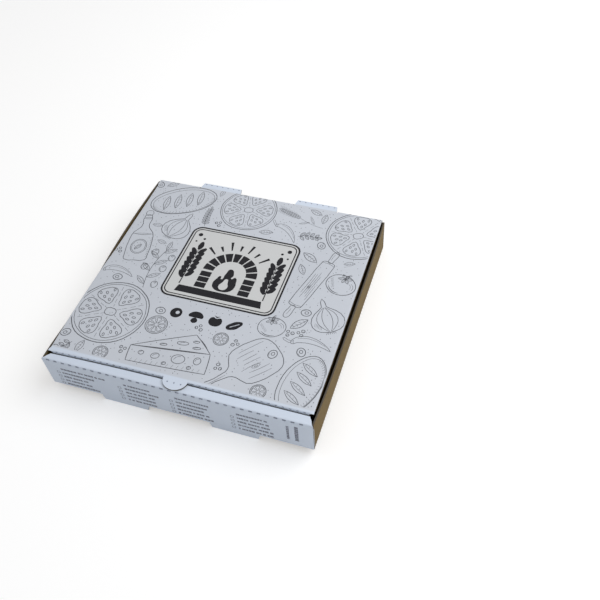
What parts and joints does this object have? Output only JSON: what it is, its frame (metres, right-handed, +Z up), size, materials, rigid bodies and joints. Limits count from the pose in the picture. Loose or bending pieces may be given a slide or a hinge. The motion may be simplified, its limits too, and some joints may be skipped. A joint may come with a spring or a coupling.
{
  "type": "pizza box",
  "caption": "Low square takeaway box folded from one sheet of thin fluted board, with a hinged lid that tucks in at the front and sides, a rolled front rim and a thumb tongue.",
  "frame": {"origin": "middle of the overall box, level with the ends of the two front feet", "axes": "+Z up, X across the box along the lid's hinge crease, -Y towards the front rim"},
  "size_m": [0.266, 0.2686, 0.0495],
  "materials": {
    "kraft_board": "matt",
    "white_board": "matt"
  },
  "bodies": {
    "tray": {"tray": "kraft_board"},
    "lid": {"lid": "white_board"}
  },
  "joints": [
    {"name": "lid_hinge", "type": "hinge", "parent": "tray", "child": "lid", "pos_m": [0, 0.12775, 0.0495], "axis": [-1, 0, 0], "range_deg": [0, 180]}
  ]
}
